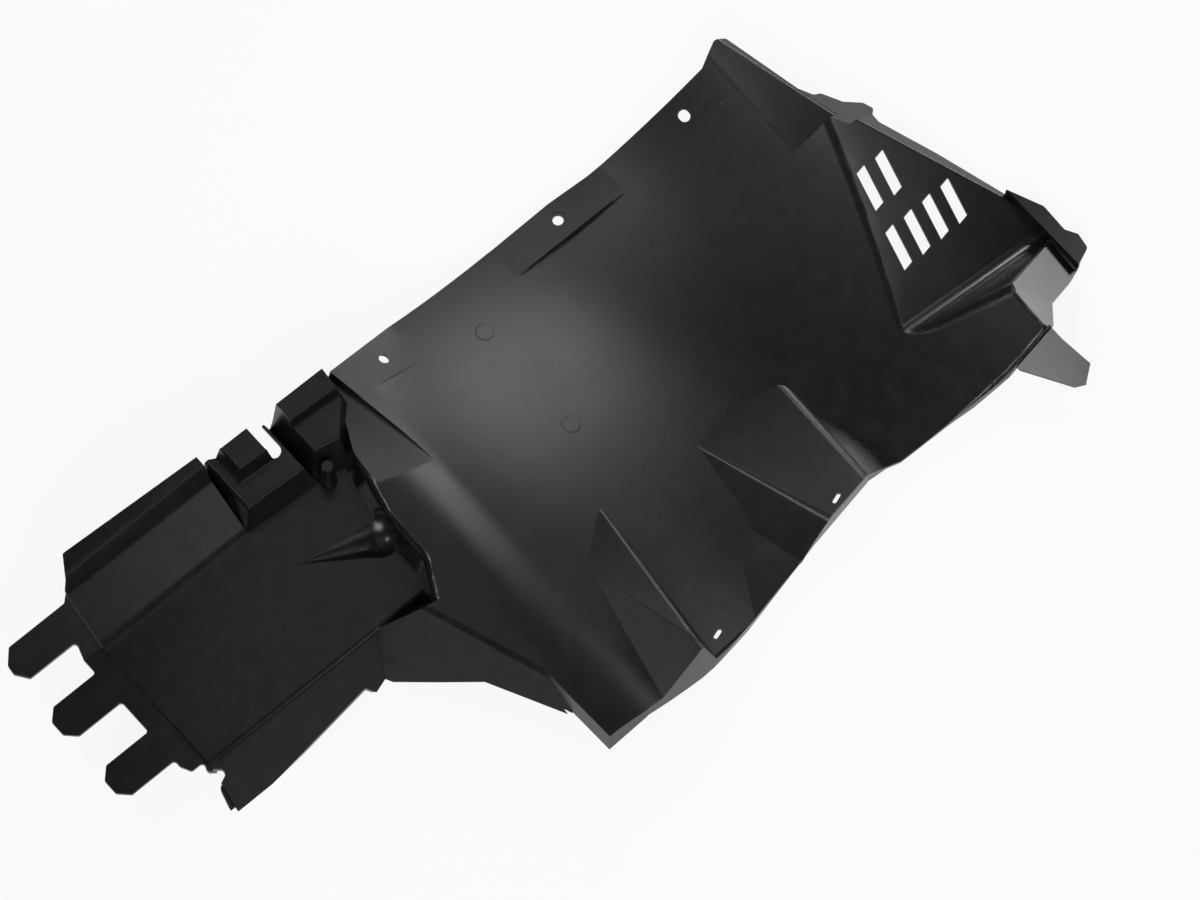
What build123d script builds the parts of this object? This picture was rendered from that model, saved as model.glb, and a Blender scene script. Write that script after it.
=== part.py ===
"""Wheel arch liner: one thin moulded sheet lying with its wheel side up."""
import os
from math import cos, radians, sin

from build123d import *

# Wall and levels of the wheel side skin above the floor
WALL = 2.5
VALLEY_Z = 9.0
PLATE_Z = 37.0
LIP_Z = 11.0
LIP_STEP = 6.0
BASE_Z = -20.0
TOP_Z = 120.0

# Valley sheet: hollow arc that rolls over into a flat crown on the left
ARC_R = 433.0
ARC_X = 90.0
ARC_SPAN = 26.0
CROWN_R = 120.0
SIDE_Y = 240.0
ROLL_DEPTH = 9.0

# Bumps that rise toward the rolled side
SHELF_RISE = 27.0
BUMP_RISE = 25.0

# Left plate: section across the width
RAMP_FOOT_Y = 104.0
RAMP_TOP_Y = 140.0
RAMP_TOP_Z = 63.0
RIM_Y = 148.0
RIM_Z = 80.0
SKIRT_Y = -11.0
SKIRT_FOOT_Y = -55.0
PLATE_LEFT_X = -366.0
JOGGLE = 3.0

# Flat pad round the middle screw hole
PAD_Z = 12.0
PAD_DRAFT = 30.0

# Tongues that slide under the next liner section
TONGUE_X = -428.0
TONGUE_WS = (28.0, 28.0, 22.0)
TONGUE_CHAMFER = 8.0
TONGUE_YS = (22.0, 79.0, 128.0)

# Flute in the step wall
FLUTE_R = 7.0

# Rounding of the outline's corners
OUTLINE_R = 2.5

# Scoop in the plate
SCOOP_R = 18.0
SCOOP_L = 62.0
SCOOP_RISE = 13.0

# Drafts of the moulded walls, in degrees
STEP_DRAFT = 10.0
STEP_BEND_R = 18.0
LEDGE_DRAFT = 16.0
HEAD_DRAFT = 10.0

# Screw holes along the outer edge
HOLE_D = 8.0
HOLE_PLAY = 2.0
HOLE_XS = (-81.0, ARC_X, 207.0)
HOLE_YS = (138.0, 149.0, 147.0)
SEAT_D = 13.0
SEAT_DEPTH = 0.6

# Drain slits
SLIT_L = 9.0
SLIT_W = 3.0

# Hollow fold at the foot of the vent wall
VENT_WALL_R = 12.0

# Vent slots
SLOT_L = 30.0
SLOT_W = 8.5
SLOT_PITCH = 18.7
SLOT_TURN = 14.0
SLOT_SLANT = 0.5
SLOT_ROWS = ((253.0, -31.0, 4), (265.5, 14.0, 2))


def under(a, b, c):
    """Plane through three points of a face, with its normal pointing up."""
    p, q, r = Vector(*a), Vector(*b), Vector(*c)
    n = (q - p).cross(r - p)
    if n.Z < 0:
        n = -n
    return Plane(origin=p, x_dir=q - p, z_dir=n)


def arc_z(x, drop=0.0):
    """Height of the valley arc at a place along the length."""
    r = ARC_R + drop
    return VALLEY_Z + ARC_R - (r**2 - (x - ARC_X) ** 2) ** 0.5


def sheet_z(x):
    """Height of the sheet at a place along the length: arc, roll or flat crown."""
    if x >= joint_x:
        return arc_z(x)
    return crown_z - CROWN_R + (CROWN_R**2 - max(x - crown_x, 0.0) ** 2) ** 0.5


def on(x, y, rise=0.0):
    """Point of the sheet at a place in plan, or a rise above it."""
    return (x, y, sheet_z(x) + rise)


def mid(p, q):
    """Point halfway between two points."""
    return tuple((a + b) / 2 for a, b in zip(p, q))


def square_to_sheet(x, y):
    """Plane that touches the valley arc at a place in plan."""
    return Plane(origin=(x, y, arc_z(x)), x_dir=(0, 1, 0), z_dir=(ARC_X - x, 0, VALLEY_Z + ARC_R - arc_z(x)))


crown_x = ARC_X - (ARC_R + CROWN_R) * sin(radians(ARC_SPAN))
crown_z = VALLEY_Z + ARC_R - (ARC_R + CROWN_R) * cos(radians(ARC_SPAN)) + CROWN_R
joint_x = ARC_X - ARC_R * sin(radians(ARC_SPAN))
half = radians(ARC_SPAN / 2)
crown_mid = (crown_x + CROWN_R * sin(half), crown_z - CROWN_R * (1 - cos(half)))


def boss(points, foot_z, top_z, draft, d):
    """Drafted block standing on a plan polygon, drawn in by a skin depth."""
    with BuildPart() as b:
        with BuildSketch(Plane.XY.offset(foot_z)):
            with BuildLine():
                Polyline(*points, close=True)
            make_face()
            if d:
                offset(amount=-d, kind=Kind.INTERSECTION, mode=Mode.REPLACE)
        extrude(amount=top_z - d - foot_z, taper=draft)
    return b.part


def above(x0, x1, y0, y1, planes, d):
    """Air above a set of faces, let down by a skin depth."""
    with BuildPart() as b:
        with Locations(((x0 + x1) / 2, (y0 + y1) / 2, BASE_Z)):
            Box(x1 - x0, y1 - y0, TOP_Z - BASE_Z, align=(Align.CENTER, Align.CENTER, Align.MIN))
        for p in planes:
            split(bisect_by=p.offset(-d), keep=Keep.TOP)
    return b.part


def below(x0, x1, y0, y1, planes, d):
    """Solid below a set of faces, drawn in by a skin depth."""
    with BuildPart() as b:
        with Locations(((x0 + x1) / 2, (y0 + y1) / 2, BASE_Z)):
            Box(x1 - x0, y1 - y0, TOP_Z - BASE_Z, align=(Align.CENTER, Align.CENTER, Align.MIN))
        for p in planes:
            split(bisect_by=p.offset(-d), keep=Keep.BOTTOM)
    return b.part


def section(x0, x1, drop, d):
    """Left plate section run along the length, let down by a joggle."""
    with BuildPart() as b:
        with BuildSketch(Plane.YZ.offset(x0)):
            with BuildLine():
                Polyline(
                    (SIDE_Y - 10, RIM_Z),
                    (RIM_Y, RIM_Z),
                    (RAMP_TOP_Y, RAMP_TOP_Z),
                    (RAMP_FOOT_Y, PLATE_Z),
                    (SKIRT_Y, PLATE_Z),
                    (SKIRT_FOOT_Y, BASE_Z),
                    (SIDE_Y - 10, BASE_Z),
                    close=True,
                )
            make_face()
            if d + drop:
                offset(amount=-d - drop, kind=Kind.INTERSECTION, mode=Mode.REPLACE)
        extrude(amount=x1 - x0)
    return b.part


# Corners of the first bump: its shelf, the roof beside it and the steep side
shelf_top = on(-34, -40)
shelf_side = on(-74, -74)
shelf_end = on(-58, -171, SHELF_RISE)
shelf_toe = on(-102, -184)
shelf_foot = on(-49, -171)
# Corners of the second bump
bump_top = on(51, -46)
bump_end = on(76, -147, BUMP_RISE)
bump_far = on(127, -49)
bump_far_end = on(121, -125, 0.72 * BUMP_RISE)
bump_foot = on(38, -125, -2.0)
bump_toe = on(150, -139, -1.2)
# Low ridge at the foot of the second bump
ridge_top = on(36, -108)
ridge_end = on(43, -147, 6.0)

# Soft folds of the skin: places on the edges, radius, and whether the fold is hollow
SIDE_FOLDS = (
    ([(-160.8, 21, crown_z), (-170, -17, crown_z), (-154.5, 67, crown_z)], 7.0, False),
    ([on(-25, -168)], 3.0, False),
    ([on(200, -147)], 4.0, False),
)
BUMP_FOLDS = (
    ([mid(shelf_side, shelf_end)], 6.0, False),
    ([mid(shelf_top, shelf_end)], 4.0, False),
    ([mid(bump_top, bump_end)], 4.0, False),
    ([mid(bump_far, bump_far_end)], 12.0, False),
    ([on(90, 130, 2)], 3.0, False),
)
VENT_FOLDS = (
    ([(245, 0, 37.5)], 14.0, False),
)
END_FOLDS = (
    ([(320, 20, 24)], 4.0, False),
    ([on(244, 130)], 30.0, False),
    ([on(280, 85, -9)], 3.5, False),
)
PLATE_FOLDS = (
    ([(-300, RAMP_FOOT_Y, PLATE_Z)], 16.0, True),
    ([(-300, RAMP_TOP_Y, RAMP_TOP_Z)], 4.0, True),
    ([(-300, RIM_Y, RIM_Z)], 3.5, False),
)
WEB_FOLDS = (
    ([(-300, SKIRT_Y, PLATE_Z)], 6.0, False),
)
SKIN_FOLDS = (
    ([(-170, -78, crown_z)], 6.0, False),
    ([on(284, -130)], 3.5, False),
)
BLOCK_FOLDS = (
    ([(-205, 108, 61), (-229.4, 150, 61)], 3.5, False),
    ([(-160, 105, 70)], 3.5, False),
    ([(-207, 126, 61)], 2.5, True),
    ([(-207, 129, 78), (-219, 150, 78)], 2.5, False),
    ([(-150, 130, 80)], 2.5, False),
    ([on(-110, 100, -4.2)], 3.0, True),
)


def soften(builder, folds, d):
    """Fillet the edges nearest the given places of the form being built."""
    for places, fold_r, hollow_fold in folds:
        picked = [min(builder.edges(), key=lambda e: e.distance_to(Vertex(*q))) for q in places]
        fillet(picked, fold_r + d if hollow_fold else max(fold_r - d, 0.8))


def form(d):
    """Everything under the wheel side skin, drawn in by a depth d."""
    with BuildPart() as trim:
        with BuildSketch(Plane.XY.offset(crown_z + 2)) as side:
            with BuildLine():
                Polyline(
                    (-134, SIDE_Y),
                    (-134, 115),
                    (-148, 92),
                    (-160, 42),
                    (-161, 0),
                    (-180, -34),
                    (-153, -120),
                    (-151, -184),
                    (-120, -184),
                    (-66, -177),
                    (62, -152),
                    (120, -141),
                    (250, -150),
                    (290, -150),
                    (300, -SIDE_Y),
                    (460, -SIDE_Y),
                    (460, SIDE_Y),
                    close=True,
                )
            make_face()
            bends = side.vertices().filter_by(lambda v: v.X < -130 and -10 < v.Y < 120)
            fillet(bends, STEP_BEND_R)
            if d:
                offset(amount=-d, kind=Kind.INTERSECTION, mode=Mode.REPLACE)
        extrude(amount=-(crown_z + 2 - BASE_Z), taper=-STEP_DRAFT)

    with BuildPart() as f:
        # Valley sheet and crown
        with BuildSketch(Plane.XZ):
            with BuildLine():
                Line((-300, crown_z), (crown_x, crown_z))
                ThreePointArc((crown_x, crown_z), crown_mid, (joint_x, arc_z(joint_x)))
                ThreePointArc((joint_x, arc_z(joint_x)), (ARC_X, VALLEY_Z), (420, arc_z(420)))
                Polyline((420, arc_z(420)), (420, BASE_Z), (-300, BASE_Z), (-300, crown_z))
            make_face()
            if d:
                offset(amount=-d, kind=Kind.INTERSECTION, mode=Mode.REPLACE)
        extrude(amount=SIDE_Y - 10, both=True)

        # Shelf of the first bump, with its steep side toward the valley
        shelf = under(shelf_top, shelf_side, shelf_end)
        shelf_left = under(shelf_side, shelf_end, shelf_toe)
        shelf_right = under(shelf_top, shelf_end, shelf_foot)
        add(below(-160, 0, -220, -20, (shelf, shelf_left, shelf_right), d))
        # Second bump, with its steep side on the left
        bump = under(bump_top, bump_end, bump_far)
        bump_left = under(bump_top, bump_end, bump_foot)
        bump_right = under(bump_far, bump_far_end, bump_toe)
        add(below(0, 190, -220, -30, (bump, bump_left, bump_right), d))
        # Low ridge beside the foot of the second bump
        ridge_left = under(ridge_top, ridge_end, on(6, -150))
        ridge_right = under(ridge_top, ridge_end, on(50, -147, -3.0))
        add(below(-40, 70, -220, -100, (ridge_left, ridge_right), d))
        # Pad round the middle screw hole
        add(boss([(15, 128), (165, 128), (165, 236), (15, 236)], 0, PAD_Z, PAD_DRAFT, d))
        # Flat pad round the left screw hole, a chord of the sheet
        left_pad = under(on(-106, 123), on(-58, 123), on(-58, 200))
        add(below(-120, -44, 123 + d, 236, (left_pad,), d))
        soften(f, BUMP_FOLDS, d)
        # Side walls of the sheet
        add(trim.part, mode=Mode.INTERSECT)
        soften(f, SIDE_FOLDS, d)

        # Vent panel: a ramp that falls from the valley sheet to the end lip
        vent = under(on(273, 67, 0.4), on(210, -84), (341, -48, LIP_Z))
        vent_wall = under(on(210, -84), (329, -90, LIP_Z + 1), on(284, -111))
        with BuildPart(mode=Mode.PRIVATE) as vent_air:
            add(above(180, 430, -160, 240, (vent, vent_wall), d))
            soften(vent_air, [([(270, -87, 19)], VENT_WALL_R, True)], d)
        add(vent_air.part, mode=Mode.SUBTRACT)
        soften(f, VENT_FOLDS, d)
        # Fold along the outer edge of the vent panel
        fold = under(on(293, 55, -15.8), (341, -46, LIP_Z + 0.2), on(303, 57, -30))
        add(above(270, 430, -60, 240, (fold,), d), mode=Mode.SUBTRACT)
        # End face: slopes from the lower sheet down to the end lip
        end = under(on(284, -111), on(282, -152), (341, -122, LIP_Z))
        floor = Plane.XY.offset(LIP_Z)
        add(above(240, 430, -240, 40, (end, floor), d), mode=Mode.SUBTRACT)
        # Band along the free end of the sheet
        band = under(on(245, 165, 0.6), on(243, 83, 0.6), on(266, 165, -4.4))
        add(above(230, 430, 70, 240, (band,), d), mode=Mode.SUBTRACT)
        # Flange folded down from the band, with the clip tab
        flange = under(on(276, 102, -7.6), on(284, 68, -10.3), on(287, 104, -22.4))
        add(above(260, 430, 58, 240, (flange,), d), mode=Mode.SUBTRACT)
        soften(f, END_FOLDS, d)

        # Left plate and the joggled strip that carries the tongues
        run = section(PLATE_LEFT_X + d, -110, 0.0, d)
        nook = [(-236 - d, RAMP_FOOT_Y - d), (0, RAMP_FOOT_Y - d), (0, 260), (-236 - d, 260)]
        add(run - boss(nook, PLATE_Z - d, TOP_Z, 0, 0))
        soften(f, PLATE_FOLDS, d)
        add(section(-460, PLATE_LEFT_X + 10, JOGGLE, d))
        # Web that turns the skirt round the corner of the crown
        web = under((-183, -35, crown_z), (-214, -56, 15), (-156, -121, crown_z - 3))
        web_side = under((-209, -12, PLATE_Z), (-181, -17, PLATE_Z), (-178, -30, crown_z))
        add(below(-290, -150, -150, 10, (web, web_side, Plane.XY.offset(crown_z)), d))
        soften(f, WEB_FOLDS, d)
        if d == 0:
            soften(f, SKIN_FOLDS, d)
        # Facet beside the blocks, a step lower than the sheet
        facet = under(on(-104, 40, 1.4), on(-150, 60, 0.22), on(-126, 150, -7.06))
        facet_step = under(on(-104, 40, -4.8), on(-127, 170, -12.24), on(-98, 40, 18.06))
        add(above(-160, -90, 30, 240, (facet, facet_step), d), mode=Mode.SUBTRACT)
        # Stepped blocks at the outer edge
        add(boss([(-238, 101), (-172, 97), (-172, 236), (-238, 236)], PLATE_Z - 6, 61, LEDGE_DRAFT, d))
        add(boss([(-224, 125), (-188, 123), (-188, 236), (-224, 236)], 50, 78, HEAD_DRAFT, d))
        right_foot = [(-180, 100), (-146, 92), (-118, 122), (-118, 236), (-180, 236)]
        add(boss(right_foot, PLATE_Z - 6, 70, LEDGE_DRAFT, d))
        add(boss([(-174, 129), (-124, 126), (-114, 236), (-174, 236)], 50, 80, HEAD_DRAFT, d))
        # Flute in the wall beside the right block
        with BuildSketch(Plane.XY.offset(PLATE_Z - 6)):
            with Locations((-168, 96)):
                Circle(FLUTE_R - d)
        extrude(amount=64 - d - (PLATE_Z - 6), taper=5)
        soften(f, BLOCK_FOLDS, d)
        # Scoop in the plate at the foot of the step wall
        scoop = Plane(origin=(-226, 63, PLATE_Z), x_dir=(0, 0, 1), z_dir=(66, -28, SCOOP_RISE))
        along = (Align.CENTER, Align.CENTER, Align.MIN)
        with Locations(scoop):
            Cone(0.3 + d, SCOOP_R + d, SCOOP_L, align=along, mode=Mode.SUBTRACT)
        with Locations(scoop.offset(SCOOP_L)):
            Sphere(SCOOP_R + d, mode=Mode.SUBTRACT)
        # Step up to the end lip
        lip = [(343, -240), (430, -240), (430, -42), (343, -42)]
        add(boss(lip, BASE_Z + 5, LIP_Z + LIP_STEP, 3, d))
    return f.part


outer = form(0.0)
inner = form(WALL)

# Plan outline of the moulding
with BuildSketch() as outline:
    with BuildLine():
        Polyline(
            (-352, 161),
            (-227, 155),
            (-218, 150),
            (-126, 149),
            (-61, 157),
            (35, 162),
            (93, 163),
            (128, 161),
            (238, 163),
            (257, 172),
            (266, 169),
            (277, 104),
            (283, 94),
            (289, 93),
            (298, 79),
            (311, 72),
            (314, 64),
            (307, 58),
            (306, 50),
            (325, 8),
            (343, -40),
            (356, -71),
            (355, -94),
            (360, -103),
            (358, -115),
            (341, -122),
            (330, -127),
            (304, -136),
            (290, -152),
            (246, -156),
            (121, -147),
            (62, -158),
            (-66, -185),
            (-120, -190),
            (-165, -190),
            (-170, -140),
            (-205, -85),
            (-228, -46),
            (-243, -31),
            (-340, -40),
            (-371, -46),
            (-368, -23),
            (-356, -19),
            (-370, -12),
            (-367, -6),
            (-378, -6),
            (-382, 2),
            (-382, 106),
            (-374, 136),
            (-362, 146),
            close=True,
        )
    make_face()
    for tongue_y, tongue_w in zip(TONGUE_YS, TONGUE_WS):
        with BuildLine():
            Polyline(
                (-370, tongue_y - tongue_w / 2),
                (TONGUE_X + TONGUE_CHAMFER, tongue_y - tongue_w / 2),
                (TONGUE_X, tongue_y - tongue_w / 2 + TONGUE_CHAMFER),
                (TONGUE_X, tongue_y + tongue_w / 2 - TONGUE_CHAMFER),
                (TONGUE_X + TONGUE_CHAMFER, tongue_y + tongue_w / 2),
                (-370, tongue_y + tongue_w / 2),
                close=True,
            )
        make_face()

    fillet(outline.vertices(), OUTLINE_R)

with BuildPart() as liner:
    add(outer)
    add(inner, mode=Mode.SUBTRACT)
    # Cut to the plan outline, standing on the floor
    with BuildPart(mode=Mode.PRIVATE) as keep:
        add(outline.sketch)
        extrude(amount=TOP_Z)
    add(keep.part, mode=Mode.INTERSECT)
    # Lower edge of the rolled side along the valley
    with BuildPart(mode=Mode.PRIVATE) as roll_foot:
        with BuildSketch(Plane.XZ.offset(130)):
            with BuildLine():
                foot_left = (-118, arc_z(-118, ROLL_DEPTH))
                foot_right = (284, arc_z(284, ROLL_DEPTH))
                ThreePointArc(foot_left, (ARC_X, VALLEY_Z - ROLL_DEPTH), foot_right)
                Polyline(foot_right, (284, BASE_Z), (-158, BASE_Z), (-158, 49), foot_left)
            make_face()
        extrude(amount=130)
    add(roll_foot.part, mode=Mode.SUBTRACT)
    # Lower edge of the skirt on the left
    with BuildPart(mode=Mode.PRIVATE) as skirt_foot:
        with BuildSketch(Plane.XZ.offset(26)):
            with BuildLine():
                Polyline(
                    (-460, BASE_Z),
                    (-460, 0),
                    (-250, 0),
                    (-225, 8),
                    (-205, 23),
                    (-184, 39),
                    (-152, 49),
                    (-152, BASE_Z),
                    close=True,
                )
            make_face()
        extrude(amount=260)
    add(skirt_foot.part, mode=Mode.SUBTRACT)

    # Fixing tab at the lower end corner
    tab = under(on(250, -147, -4.5), on(286, -147, -10), on(290, -192, -22))
    with BuildPart(mode=Mode.PRIVATE) as tab_blank:
        with BuildSketch():
            with BuildLine():
                Polyline(
                    (252, -146),
                    (254, -158),
                    (275, -192),
                    (282, -196),
                    (293, -188),
                    (289, -163),
                    (288, -146),
                    close=True,
                )
            make_face()
        extrude(amount=TOP_Z)
        split(bisect_by=tab, keep=Keep.BOTTOM)
        split(bisect_by=tab.offset(-WALL), keep=Keep.TOP)
    add(tab_blank.part)

    # Screw holes along the outer edge, square to the sheet, the last one oblong
    with BuildSketch(square_to_sheet(HOLE_XS[0], HOLE_YS[0])):
        Circle(HOLE_D / 2)
    with BuildSketch(square_to_sheet(HOLE_XS[1], HOLE_YS[1])):
        Circle(HOLE_D / 2)
    with BuildSketch(square_to_sheet(HOLE_XS[2], HOLE_YS[2])):
        SlotOverall(HOLE_D + HOLE_PLAY, HOLE_D)
    extrude(amount=12, both=True, mode=Mode.SUBTRACT)
    # Drain slits at the ends of the two bumps
    with BuildSketch(Plane.XY):
        with Locations((-36, -166), (92, -146)):
            SlotOverall(SLIT_L, SLIT_W, rotation=20)
    extrude(amount=TOP_Z, mode=Mode.SUBTRACT)
    # Open notch between the two blocks
    with BuildSketch(Plane.XY):
        with Locations((-189, 131)):
            Circle(6.5)
            Rectangle(13, 40, align=(Align.CENTER, Align.MIN))
    extrude(amount=TOP_Z, mode=Mode.SUBTRACT)
    # Washer seat round the middle hole
    with Locations((HOLE_XS[1], HOLE_YS[1], PAD_Z - SEAT_DEPTH)):
        Cylinder(SEAT_D / 2, 10, align=(Align.CENTER, Align.CENTER, Align.MIN), mode=Mode.SUBTRACT)
    # Vent slots in two rows, with slanted ends
    slant = SLOT_W * SLOT_SLANT / 2
    slot_shape = [
        (-SLOT_W / 2, -SLOT_L / 2 - slant),
        (SLOT_W / 2, -SLOT_L / 2 + slant),
        (SLOT_W / 2, SLOT_L / 2 + slant),
        (-SLOT_W / 2, SLOT_L / 2 - slant),
    ]
    with BuildSketch(Plane.XY):
        for row_x, row_y, count in SLOT_ROWS:
            with Locations(*[(row_x + i * SLOT_PITCH, row_y + i * 1.3) for i in range(count)]):
                Polygon(*slot_shape, rotation=-SLOT_TURN)
    extrude(amount=TOP_Z, mode=Mode.SUBTRACT)

# Origin at the middle of the foot of the part
box = liner.part.bounding_box()
foot = Vector(box.center().X, box.center().Y, box.min.Z)
liner.part.position -= foot

os.makedirs("parts", exist_ok=True)
liner.part.label = "liner"
export_step(liner.part, "parts/liner.step")
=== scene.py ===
"""Wheel arch liner: finish, moulding marks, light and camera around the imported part.

Lengths are in metres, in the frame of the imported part.
"""

import logging
import math
from dataclasses import dataclass, field
from enum import Enum
from typing import Any

import bmesh
import bpy
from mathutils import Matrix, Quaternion, Vector
from mathutils.bvhtree import BVHTree

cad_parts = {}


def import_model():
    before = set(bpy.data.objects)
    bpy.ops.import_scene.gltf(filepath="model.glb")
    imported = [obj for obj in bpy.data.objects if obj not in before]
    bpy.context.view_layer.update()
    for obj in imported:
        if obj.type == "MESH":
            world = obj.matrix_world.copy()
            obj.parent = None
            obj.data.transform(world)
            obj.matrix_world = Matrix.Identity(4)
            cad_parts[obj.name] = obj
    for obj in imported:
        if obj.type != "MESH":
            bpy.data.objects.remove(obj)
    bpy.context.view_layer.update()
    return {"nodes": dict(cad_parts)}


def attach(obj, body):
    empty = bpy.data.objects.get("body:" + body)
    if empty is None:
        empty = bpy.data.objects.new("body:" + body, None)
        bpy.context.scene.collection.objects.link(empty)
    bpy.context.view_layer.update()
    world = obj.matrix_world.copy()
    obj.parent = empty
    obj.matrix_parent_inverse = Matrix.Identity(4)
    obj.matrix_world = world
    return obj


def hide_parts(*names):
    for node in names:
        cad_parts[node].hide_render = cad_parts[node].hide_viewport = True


LOG = logging.getLogger("liner")
BODY = "root"
NODE = "liner"

Vec2 = tuple[float, float]
Vec3 = tuple[float, float, float]
Colour = tuple[float, float, float, float]
Tree = bpy.types.NodeTree
Socket = bpy.types.NodeSocket

UP: Vec3 = (0.0, 0.0, 1.0)
DOWN: Vec3 = (0.0, 0.0, -1.0)
WHITE: Colour = (1.0, 1.0, 1.0, 1.0)


class LampRole(Enum):
    """What a lamp does in the studio.

    The key lamp gives the plain level of light, and each of the others gives
    a few faces a soft highlight.
    """

    KEY = "key"
    PATCH = "patch"
    SIDE = "side"
    FILL = "fill"
    FRONT = "front"
    RIM = "rim"
    RIDGE = "ridge"
    VENT = "vent"
    PLATE = "plate"
    PAD = "pad"


def link(tree: Tree, source: Socket, target: Socket) -> None:
    """Join two sockets of one tree."""
    tree.links.new(source, target)


def add_node(tree: Tree, kind: str, **values: Any) -> bpy.types.Node:
    """Add a node and set its properties.

    Args:
        tree: The tree that gets the node.
        kind: Type name of the node.
        **values: Properties of the node.

    Returns:
        The new node.
    """
    node = tree.nodes.new(kind)
    for name, value in values.items():
        setattr(node, name, value)
    return node


def blank_material(name: str) -> tuple[bpy.types.Material, Socket]:
    """Make a node material that has only its output.

    Args:
        name: Name of the material.

    Returns:
        The material, and the socket that takes its surface.
    """
    made = bpy.data.materials.new(name)
    made.use_nodes = True
    made.node_tree.nodes.clear()
    out = add_node(made.node_tree, "ShaderNodeOutputMaterial")
    return made, out.inputs["Surface"]


def add_object(name: str, data: bpy.types.ID) -> bpy.types.Object:
    """Make an object and put it in the scene.

    Args:
        name: Name of the object.
        data: Its mesh, light or camera.

    Returns:
        The new object.
    """
    made = bpy.data.objects.new(name, data)
    bpy.context.collection.objects.link(made)
    return made


def hang(
    thing: bpy.types.Object, facing: Vec3, way: Vector, distance: float, turn: float = 0.0
) -> None:
    """Hang a lamp or a camera so that it looks at a point.

    Args:
        thing: The lamp or the camera.
        facing: The point that it looks at.
        way: Direction of length 1 from that point to it.
        distance: How far it hangs from that point.
        turn: Turn about its own line of sight, in radians.
    """
    thing.location = Vector(facing) + way * distance
    thing.rotation_mode = "QUATERNION"
    thing.rotation_quaternion = way.to_track_quat("Z", "Y") @ Quaternion(UP, turn)


def stretch_of(parents: list[int], index: int) -> int:
    """Number of the flat stretch that a face is in.

    Args:
        parents: For each face, another face of its stretch, or itself.
        index: Number of the face.

    Returns:
        Number of the face that stands for the stretch.
    """
    while parents[index] != index:
        parents[index] = parents[parents[index]]
        index = parents[index]
    return index


@dataclass(frozen=True)
class MouldedBlack:
    """Black moulded plastic with a fine grain, rub marks and a slight gloss.

    Each of the three noises has a feature size and a number of finer layers.
    A span is the stretch of a noise's values that the range below it covers.

    Attributes:
        name: Name of the material.
        deep: Colour of the untouched plastic.
        worn: Colour where it is rubbed.
        specular: Level of its mirror light.
        rub_size: Feature size of the rub marks.
        rub_detail: Finer layers of the rub marks.
        rub_span: Span of the rub marks.
        rub_share: Least and greatest share of the worn colour.
        cloud_size: Feature size of the uneven gloss.
        cloud_detail: Finer layers of the uneven gloss.
        cloud_span: Span of the uneven gloss.
        roughness: Least and greatest roughness.
        grain_size: Feature size of the moulded grain.
        grain_detail: Finer layers of the grain.
        grain_depth: Depth of the grain.
        grain_strength: Share of that depth that shows.
    """

    name: str = "liner_moulded_black"
    deep: Colour = (0.0052, 0.0054, 0.0060, 1.0)
    worn: Colour = (0.0098, 0.0101, 0.0109, 1.0)
    specular: float = 0.45
    rub_size: float = 0.012
    rub_detail: float = 6.0
    rub_span: Vec2 = (0.42, 0.72)
    rub_share: Vec2 = (0.0, 1.0)
    cloud_size: float = 0.07
    cloud_detail: float = 4.0
    cloud_span: Vec2 = (0.35, 0.65)
    roughness: Vec2 = (0.25, 0.28)
    grain_size: float = 0.0011
    grain_detail: float = 2.0
    grain_depth: float = 0.00004
    grain_strength: float = 0.35

    @staticmethod
    def noise(tree: Tree, coords: Socket, size: float, detail: float) -> Socket:
        """Noise of one feature size on the piece's own coordinates.

        Args:
            tree: Tree of the material.
            coords: Coordinates that the noise reads.
            size: Size of one feature.
            detail: Number of finer layers.

        Returns:
            The noise factor.
        """
        noise = add_node(tree, "ShaderNodeTexNoise")
        noise.inputs["Scale"].default_value = 1.0 / size
        noise.inputs["Detail"].default_value = detail
        link(tree, coords, noise.inputs["Vector"])
        return noise.outputs["Fac"]

    @staticmethod
    def spread(tree: Tree, factor: Socket, span: Vec2, values: Vec2) -> Socket:
        """Map a factor from one span to another, clamped.

        Args:
            tree: Tree of the material.
            factor: The value to map.
            span: Low and high end of the factor.
            values: What those two ends become.

        Returns:
            The mapped value.
        """
        node = add_node(tree, "ShaderNodeMapRange")
        for key, value in zip(("From Min", "From Max", "To Min", "To Max"), span + values):
            node.inputs[key].default_value = value
        link(tree, factor, node.inputs["Value"])
        return node.outputs["Result"]

    def material(self) -> bpy.types.Material:
        """Build the material.

        Returns:
            The node material.
        """
        made, surface = blank_material(self.name)
        tree = made.node_tree
        shader = add_node(tree, "ShaderNodeBsdfPrincipled")
        shader.inputs["Specular IOR Level"].default_value = self.specular
        link(tree, shader.outputs["BSDF"], surface)
        coords = add_node(tree, "ShaderNodeTexCoord").outputs["Object"]

        rubs = self.noise(tree, coords, self.rub_size, self.rub_detail)
        blend = add_node(tree, "ShaderNodeMix", data_type="RGBA")
        blend.inputs["A"].default_value = self.deep
        blend.inputs["B"].default_value = self.worn
        share = self.spread(tree, rubs, self.rub_span, self.rub_share)
        link(tree, share, blend.inputs["Factor"])
        link(tree, blend.outputs["Result"], shader.inputs["Base Color"])

        cloud = self.noise(tree, coords, self.cloud_size, self.cloud_detail)
        uneven = self.spread(tree, cloud, self.cloud_span, self.roughness)
        link(tree, uneven, shader.inputs["Roughness"])

        grain = self.noise(tree, coords, self.grain_size, self.grain_detail)
        bump = add_node(tree, "ShaderNodeBump")
        bump.inputs["Strength"].default_value = self.grain_strength
        bump.inputs["Distance"].default_value = self.grain_depth
        link(tree, grain, bump.inputs["Height"])
        link(tree, bump.outputs["Normal"], shader.inputs["Normal"])
        return made


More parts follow.
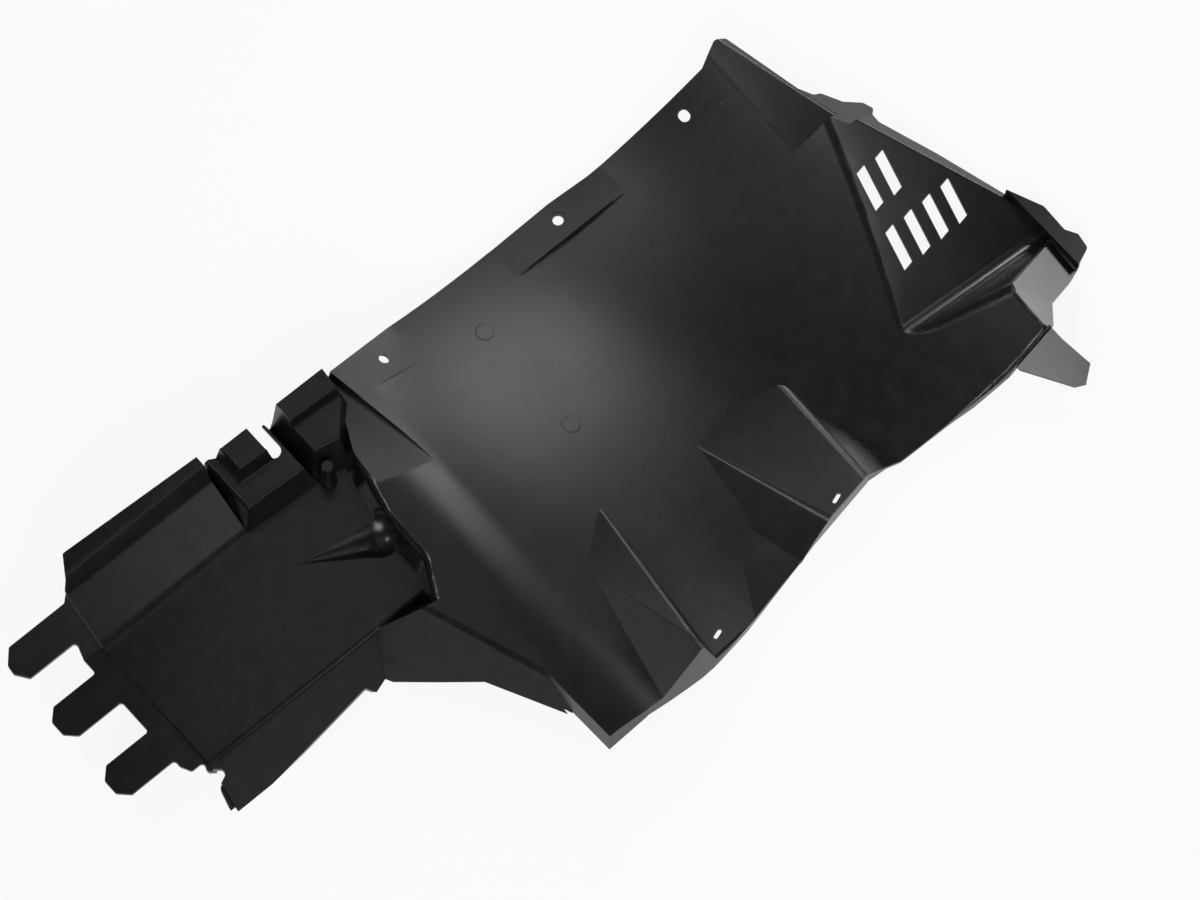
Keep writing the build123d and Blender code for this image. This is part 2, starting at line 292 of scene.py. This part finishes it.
@dataclass(frozen=True)
class Ridge:
    """A fold between two flat faces, with a wider round than the solid's.

    A round keeps its shape when it is scaled about the sharp line in which
    the two faces would meet, so its corners move along the faces.

    Attributes:
        first: A point on one face.
        second: A point on the other face.
        middle: Middle of the stretch whose round is widened.
        half: Half the length of that stretch.
        reach: Greatest distance of the round's corners from the sharp line.
        depth: Greatest depth of the round's corners under the sharp line.
        slack: How far over the sharp line a corner may lie.
        widen: How many times wider the round becomes.
    """

    first: Vec3
    second: Vec3
    middle: Vec3
    half: float
    reach: float
    depth: float
    slack: float
    widen: float

    def soften(self, work: bmesh.types.BMesh) -> int:
        """Widen the round.

        Args:
            work: The merged mesh.

        Returns:
            How many corners moved.
        """
        tree = BVHTree.FromBMesh(work)
        spot_a, face_a, _, _ = tree.find_nearest(Vector(self.first))
        spot_b, face_b, _, _ = tree.find_nearest(Vector(self.second))
        line = face_a.cross(face_b)
        pull = face_b * face_a.dot(spot_a) - face_a * face_b.dot(spot_b)
        base = pull.cross(line) / line.length_squared
        line = line.normalized()
        out = (face_a + face_b).normalized()
        centre = line.dot(Vector(self.middle) - base)
        moved = 0
        for corner in work.verts:
            along = line.dot(corner.co - base)
            foot = base + line * along
            off = corner.co - foot
            if abs(along - centre) >= self.half or off.length >= self.reach:
                continue
            if -self.depth < off.dot(out) < self.slack:
                corner.co = foot + off * self.widen
                moved += 1
        return moved


@dataclass
class LinerSkin:
    """The moulded sheet: a merged copy of the solid with true normals on its round stretches.

    The arc of the valley and the roll of the crown run along Y, so their
    normals lie across Y and point to or from their axes.

    Attributes:
        arc_axis: X and Z of the axis of the valley's arc.
        arc_radius: Radius of the arc on the wheel side.
        roll_axis: X and Z of the axis of the crown's roll.
        roll_radius: Radius of the roll on the wheel side.
        wall: Thickness of the wall.
        near: How far the corners of a round face may lie off its radius.
        facing: Least cosine between a round face and its true normal.
        weld: Distance under which corners are merged.
        level: Angle under which two faces lie in one flat stretch.
        broad: Area over which a flat stretch is broad.
        fold: Angle at which two broad stretches are split.
        sharp: Angle at which all other faces are split.
        ridges: The folds that get a wider round.
        finish: Finish of the sheet.
    """

    arc_axis: Vec2 = (0.124055, 0.442)
    arc_radius: float = 0.433
    roll_axis: Vec2 = (-0.118364, -0.055033)
    roll_radius: float = 0.120
    wall: float = 0.0025
    near: float = 0.00004
    facing: float = 0.9
    weld: float = 1e-6
    level: float = math.radians(0.3)
    broad: float = 0.0003
    fold: float = math.radians(12.5)
    sharp: float = math.radians(18.0)
    ridges: tuple[Ridge, ...] = (
        Ridge(
            first=(0.1347, -0.0761, 0.0201),
            second=(0.0825, -0.0878, 0.0140),
            middle=(0.1130, -0.1423, 0.0359),
            half=0.030,
            reach=0.0014,
            depth=0.0006,
            slack=0.0002,
            widen=3.4,
        ),
    )
    finish: MouldedBlack = field(default_factory=MouldedBlack)

    def round_stretches(self) -> list[tuple[Vec2, float]]:
        """Axis and radius of every round face that runs along Y.

        Returns:
            A pair for the wheel side and one for the underside, of the arc and of the roll.
        """
        return [
            (self.arc_axis, self.arc_radius),
            (self.arc_axis, self.arc_radius + self.wall),
            (self.roll_axis, self.roll_radius),
            (self.roll_axis, self.roll_radius - self.wall),
        ]

    def round_normal(self, corners: list[Vector], flat: Vector, at: Vector) -> Vector | None:
        """Normal of a round face at one corner.

        Args:
            corners: The face's corners.
            flat: The face's own normal.
            at: The corner that the normal is for.

        Returns:
            The radial normal, or None where the face isn't on a round stretch.
        """
        for (axis_x, axis_z), radius in self.round_stretches():
            errors = (math.hypot(c.x - axis_x, c.z - axis_z) - radius for c in corners)
            if all(abs(error) < self.near for error in errors):
                radial = Vector((at.x - axis_x, 0.0, at.z - axis_z)).normalized()
                if abs(radial.dot(flat)) > self.facing:
                    return radial if radial.dot(flat) > 0 else -radial
        return None

    def flat_areas(self, mesh: bpy.types.Mesh) -> list[float]:
        """Area of the flat stretch that each face lies in.

        Args:
            mesh: The merged mesh.

        Returns:
            One area for each face, in square metres.
        """
        first: dict[tuple[int, int], int] = {}
        parents = list(range(len(mesh.polygons)))
        level = math.cos(self.level)
        for face in mesh.polygons:
            for pair in face.edge_keys:
                other = first.setdefault(pair, face.index)
                if mesh.polygons[other].normal.dot(face.normal) > level:
                    parents[stretch_of(parents, face.index)] = stretch_of(parents, other)
        stretches = [stretch_of(parents, face.index) for face in mesh.polygons]
        total: dict[int, float] = {}
        for face, stretch in zip(mesh.polygons, stretches):
            total[stretch] = total.get(stretch, 0.0) + face.area
        return [total[stretch] for stretch in stretches]

    def corner_normals(self, mesh: bpy.types.Mesh) -> list[Vector]:
        """Area-weighted normals of every face corner, split at folds and sharp edges.

        Args:
            mesh: The merged mesh.

        Returns:
            One normal for each face corner, in the mesh's order.
        """
        around: dict[int, list[int]] = {}
        for face in mesh.polygons:
            for v in face.vertices:
                around.setdefault(v, []).append(face.index)
        normals = [face.normal.copy() for face in mesh.polygons]
        areas = [face.area for face in mesh.polygons]
        broad = [area > self.broad for area in self.flat_areas(mesh)]
        sharp, fold = math.cos(self.sharp), math.cos(self.fold)
        made: list[Vector] = []
        for face in mesh.polygons:
            corners = [mesh.vertices[v].co for v in face.vertices]
            for v in face.vertices:
                exact = self.round_normal(corners, face.normal, mesh.vertices[v].co)
                if exact is not None:
                    made.append(exact)
                    continue
                total = Vector()
                for other in around[v]:
                    both = broad[other] and broad[face.index]
                    if normals[other].dot(face.normal) > (fold if both else sharp):
                        total += normals[other] * areas[other]
                made.append(total.normalized() if total.length > 0 else face.normal.copy())
        return made

    def build(self, node: bpy.types.Object) -> bpy.types.Object:
        """Make the skin from the solid's mesh.

        Args:
            node: The CAD node that the skin stands for.

        Returns:
            The dressed piece.
        """
        mesh = node.data.copy()
        mesh.name = "liner_skin"
        work = bmesh.new()
        work.from_mesh(mesh)
        bmesh.ops.remove_doubles(work, verts=work.verts, dist=self.weld)
        for ridge in self.ridges:
            LOG.info("ridge: %d corners moved", ridge.soften(work))
        for face in work.faces:
            face.smooth = True
        work.to_mesh(mesh)
        work.free()
        mesh.normals_split_custom_set(self.corner_normals(mesh))
        mesh.materials.clear()
        mesh.materials.append(self.finish.material())
        piece = add_object("liner_skin", mesh)
        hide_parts(NODE)
        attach(piece, BODY)
        return piece


@dataclass
class MouldingMarks:
    """Low round lands that the ejector pins leave in the sheet, laid on its surface.

    Attributes:
        places: Points over the sheet, one above each land.
        radius: Radius of a land at its foot.
        slope: How much smaller its top is.
        height: Height of its top over its foot.
        sides: Number of sides of its outline.
        drop: How far below its place the sheet may lie.
    """

    places: tuple[Vec3, ...] = (
        (0.026, 0.127, 0.08),
        (0.026, 0.034, 0.08),
        (0.259, 0.147, 0.08),
    )
    radius: float = 0.0068
    slope: float = 0.0005
    height: float = 0.00018
    sides: int = 48
    drop: float = 0.2

    def tree(self) -> Tree:
        """Tree that lays one land on the sheet below each place.

        Returns:
            The node group, with named inputs for its sizes.
        """
        group = bpy.data.node_groups.new("moulding_marks", "GeometryNodeTree")
        kinds = {
            "Geometry": "NodeSocketGeometry",
            "Sheet": "NodeSocketObject",
            "Top Radius": "NodeSocketFloat",
            "Foot Radius": "NodeSocketFloat",
            "Height": "NodeSocketFloat",
            "Finish": "NodeSocketMaterial",
        }
        for name, kind in kinds.items():
            group.interface.new_socket(name, in_out="INPUT", socket_type=kind)
        group.interface.new_socket(
            "Geometry", in_out="OUTPUT", socket_type="NodeSocketGeometry"
        )
        put = add_node(group, "NodeGroupInput")
        out = add_node(group, "NodeGroupOutput")

        sheet = add_node(group, "GeometryNodeObjectInfo", transform_space="RELATIVE")
        link(group, put.outputs["Sheet"], sheet.inputs["Object"])
        ray = add_node(group, "GeometryNodeRaycast")
        ray.inputs["Ray Direction"].default_value = DOWN
        ray.inputs["Ray Length"].default_value = self.drop
        link(group, sheet.outputs["Geometry"], ray.inputs["Target Geometry"])

        settle = add_node(group, "GeometryNodeSetPosition")
        link(group, put.outputs["Geometry"], settle.inputs["Geometry"])
        link(group, ray.outputs["Hit Position"], settle.inputs["Position"])

        turn = add_node(group, "FunctionNodeAlignRotationToVector", axis="Z")
        below = add_node(group, "GeometryNodeSampleNearestSurface", data_type="FLOAT_VECTOR")
        normal = add_node(group, "GeometryNodeInputNormal")
        link(group, sheet.outputs["Geometry"], below.inputs["Mesh"])
        link(group, normal.outputs["Normal"], below.inputs["Value"])
        link(group, below.outputs["Value"], turn.inputs["Vector"])

        land = add_node(group, "GeometryNodeMeshCone", fill_type="NGON")
        land.inputs["Vertices"].default_value = self.sides
        link(group, put.outputs["Top Radius"], land.inputs["Radius Top"])
        link(group, put.outputs["Foot Radius"], land.inputs["Radius Bottom"])
        link(group, put.outputs["Height"], land.inputs["Depth"])

        lay = add_node(group, "GeometryNodeInstanceOnPoints")
        link(group, settle.outputs["Geometry"], lay.inputs["Points"])
        link(group, land.outputs["Mesh"], lay.inputs["Instance"])
        link(group, turn.outputs["Rotation"], lay.inputs["Rotation"])
        real = add_node(group, "GeometryNodeRealizeInstances")
        link(group, lay.outputs["Instances"], real.inputs["Geometry"])
        paint = add_node(group, "GeometryNodeSetMaterial")
        link(group, real.outputs["Geometry"], paint.inputs["Geometry"])
        link(group, put.outputs["Finish"], paint.inputs["Material"])
        link(group, paint.outputs["Geometry"], out.inputs["Geometry"])
        return group

    def build(self, sheet: bpy.types.Object) -> bpy.types.Object:
        """Lay the marks on the sheet as one plain mesh.

        Args:
            sheet: The skin that carries the marks.

        Returns:
            The dressed piece.
        """
        seeds = bpy.data.meshes.new("mark_seeds")
        seeds.from_pydata(self.places, [], [])
        carrier = add_object("mark_carrier", seeds)
        group = self.tree()
        items = group.interface.items_tree
        names = {item.name: item.identifier for item in items if item.in_out == "INPUT"}
        modifier = carrier.modifiers.new("marks", "NODES")
        modifier.node_group = group
        modifier[names["Sheet"]] = sheet
        modifier[names["Top Radius"]] = self.radius - self.slope
        modifier[names["Foot Radius"]] = self.radius
        modifier[names["Height"]] = self.height
        modifier[names["Finish"]] = sheet.data.materials[0]
        graph = bpy.context.evaluated_depsgraph_get()
        mesh = bpy.data.meshes.new_from_object(carrier.evaluated_get(graph))
        mesh.name = "ejector_marks"
        bpy.data.objects.remove(carrier)
        piece = add_object("ejector_marks", mesh)
        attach(piece, BODY)
        return piece


@dataclass(frozen=True)
class Lamp:
    """One soft lamp, hung at a distance along a line from the point that it faces.

    Attributes:
        role: What the lamp does.
        facing: The point that it faces.
        toward: Direction from that point to the lamp.
        distance: How far it hangs from that point.
        size: Width and height of its rectangle.
        power: Its power in watts.
        colour: Colour of its light.
        turn: Turn of the rectangle about the line, in radians.
    """

    role: LampRole
    facing: Vec3
    toward: Vec3
    distance: float
    size: Vec2
    power: float
    colour: Vec3
    turn: float = 0.0

    def build(self) -> None:
        """Hang the lamp."""
        data = bpy.data.lights.new(f"{self.role.value}_lamp", "AREA")
        data.shape = "RECTANGLE"
        data.size, data.size_y = self.size
        data.energy = self.power
        data.color = self.colour
        way = Vector(self.toward).normalized()
        hang(add_object(data.name, data), self.facing, way, self.distance, self.turn)


@dataclass
class Studio:
    """White floor, soft lamps and the camera of the picture.

    Attributes:
        aim: The point in the middle of the picture.
        azimuth: Angle of the camera about Z, from -Y toward +X, in degrees.
        elevation: Angle of the camera over the floor, in degrees.
        distance: How far the camera is from the aim.
        pixels_per_metre: Scale of the picture at the aim.
        picture_width: Width of the picture in pixels.
        sensor: Width of the camera's sensor in millimetres.
        far_clip: How far the camera sees.
        floor_half: Half the side of the floor.
        floor_colour: Colour of the floor where light falls on it.
        floor_white: Share of plain white that the camera and mirrors see in the floor.
        world_colour: Colour of the room's even light.
        world_strength: Strength of that light.
        lamps: The lamps.
    """

    aim: Vec3 = (0.034055, 0.012095, 0.0)
    azimuth: float = -41.0
    elevation: float = 68.0
    distance: float = 6.0
    pixels_per_metre: float = 1420.0
    picture_width: float = 1200.0
    sensor: float = 36.0
    far_clip: float = 200.0
    floor_half: float = 40.0
    floor_colour: Colour = (0.82, 0.82, 0.82, 1.0)
    floor_white: float = 0.90
    world_colour: Colour = (0.92, 0.96, 1.0, 1.0)
    world_strength: float = 0.09
    lamps: tuple[Lamp, ...] = (
        Lamp(
            LampRole.KEY,
            facing=(0.0, 0.0, 0.0),
            toward=(-0.50, -0.60, 0.62),
            distance=3.0,
            size=(1.6, 1.6),
            power=50.0,
            colour=(0.97, 0.98, 1.0),
        ),
        Lamp(
            LampRole.PATCH,
            facing=(0.02, 0.100, 0.02),
            toward=(0.635, 0.278, 0.721),
            distance=0.756,
            size=(0.08, 0.32),
            power=0.66,
            colour=(1.0, 0.985, 0.96),
            turn=math.radians(-13.6),
        ),
        Lamp(
            LampRole.SIDE,
            facing=(0.34, -0.05, 0.03),
            toward=(0.985, 0.17, 0.075),
            distance=1.2,
            size=(0.7, 0.16),
            power=4.0,
            colour=(1.0, 0.99, 0.97),
        ),
        Lamp(
            LampRole.FILL,
            facing=(-0.20, 0.14, 0.05),
            toward=(0.246, -0.79, 0.56),
            distance=0.7,
            size=(0.26, 0.20),
            power=0.18,
            colour=(0.95, 0.97, 1.0),
        ),
        Lamp(
            LampRole.FRONT,
            facing=(0.316, -0.158, 0.03),
            toward=(-0.312, -0.175, 0.926),
            distance=0.45,
            size=(0.12, 0.12),
            power=0.38,
            colour=(1.0, 0.99, 0.97),
        ),
        Lamp(
            LampRole.RIM,
            facing=(0.10, -0.08, 0.03),
            toward=(-0.44, 0.51, 0.74),
            distance=2.0,
            size=(0.24, 0.24),
            power=3.6,
            colour=(0.96, 0.98, 1.0),
        ),
        Lamp(
            LampRole.RIDGE,
            facing=(-0.01, -0.10, 0.05),
            toward=(0.76, 0.58, 0.27),
            distance=1.2,
            size=(0.16, 0.16),
            power=1.9,
            colour=(0.98, 0.99, 1.0),
        ),
        Lamp(
            LampRole.VENT,
            facing=(0.315, 0.05, 0.04),
            toward=(0.47, -0.10, 0.875),
            distance=0.6,
            size=(0.16, 0.16),
            power=0.23,
            colour=(0.98, 0.99, 1.0),
        ),
        Lamp(
            LampRole.PLATE,
            facing=(-0.16, 0.05, 0.05),
            toward=(0.246, 0.283, 0.927),
            distance=0.5,
            size=(0.30, 0.40),
            power=0.15,
            colour=(0.96, 0.98, 1.0),
        ),
        Lamp(
            LampRole.PAD,
            facing=(0.085, 0.165, 0.012),
            toward=(0.246, 0.283, 0.927),
            distance=0.55,
            size=(0.08, 0.08),
            power=0.08,
            colour=(0.96, 0.98, 1.0),
        ),
    )

    def floor_paint(self) -> bpy.types.Material:
        """Pale paint that the camera and mirrors see as white, and that keeps shadows.

        Returns:
            The node material.
        """
        paint, surface = blank_material("floor_white")
        tree = paint.node_tree
        diffuse = add_node(tree, "ShaderNodeBsdfDiffuse")
        diffuse.inputs["Color"].default_value = self.floor_colour
        glow = add_node(tree, "ShaderNodeEmission")
        glow.inputs["Color"].default_value = WHITE
        path = add_node(tree, "ShaderNodeLightPath")
        mirrored = add_node(tree, "ShaderNodeMath", operation="ADD")
        link(tree, path.outputs["Is Glossy Ray"], mirrored.inputs[0])
        link(tree, path.outputs["Is Transmission Ray"], mirrored.inputs[1])
        seen = add_node(tree, "ShaderNodeMath", operation="ADD", use_clamp=True)
        link(tree, path.outputs["Is Camera Ray"], seen.inputs[0])
        link(tree, mirrored.outputs[0], seen.inputs[1])
        amount = add_node(tree, "ShaderNodeMath", operation="MULTIPLY")
        amount.inputs[1].default_value = self.floor_white
        link(tree, seen.outputs[0], amount.inputs[0])
        mix = add_node(tree, "ShaderNodeMixShader")
        link(tree, amount.outputs[0], mix.inputs["Fac"])
        link(tree, diffuse.outputs["BSDF"], mix.inputs[1])
        link(tree, glow.outputs["Emission"], mix.inputs[2])
        link(tree, mix.outputs["Shader"], surface)
        return paint

    def floor(self) -> None:
        """Lay the floor."""
        half = self.floor_half
        corners = [
            (-half, -half, 0.0),
            (half, -half, 0.0),
            (half, half, 0.0),
            (-half, half, 0.0),
        ]
        mesh = bpy.data.meshes.new("floor")
        mesh.from_pydata(corners, [], [(0, 1, 2, 3)])
        mesh.materials.append(self.floor_paint())
        add_object("floor", mesh)

    def world(self) -> None:
        """Set the even light of the room."""
        world = bpy.data.worlds.new("room")
        bpy.context.scene.world = world
        world.use_nodes = True
        back = world.node_tree.nodes["Background"]
        back.inputs["Color"].default_value = self.world_colour
        back.inputs["Strength"].default_value = self.world_strength

    def camera(self) -> None:
        """Place the camera at the picture's angle."""
        azimuth, elevation = math.radians(self.azimuth), math.radians(self.elevation)
        level = math.cos(elevation)
        way = Vector(
            (math.sin(azimuth) * level, -math.cos(azimuth) * level, math.sin(elevation))
        )
        data = bpy.data.cameras.new("camera")
        data.sensor_width = self.sensor
        data.lens = self.sensor * self.distance * self.pixels_per_metre / self.picture_width
        data.clip_end = self.far_clip
        camera = add_object("camera", data)
        hang(camera, self.aim, way, self.distance)
        bpy.context.scene.camera = camera

    def build(self) -> None:
        """Set up the whole studio."""
        bpy.context.scene.view_settings.view_transform = "Standard"
        self.floor()
        self.world()
        for lamp in self.lamps:
            lamp.build()
        self.camera()


def main() -> None:
    """Build the pieces in order and report each one."""
    logging.basicConfig(level=logging.INFO, format="%(name)s: %(message)s")
    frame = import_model()
    skin = LinerSkin().build(frame["nodes"][NODE])
    LOG.info("%s: %d faces", skin.name, len(skin.data.polygons))
    marks = MouldingMarks().build(skin)
    LOG.info("%s: %d faces", marks.name, len(marks.data.polygons))
    Studio().build()


if __name__ == "__main__":
    main()
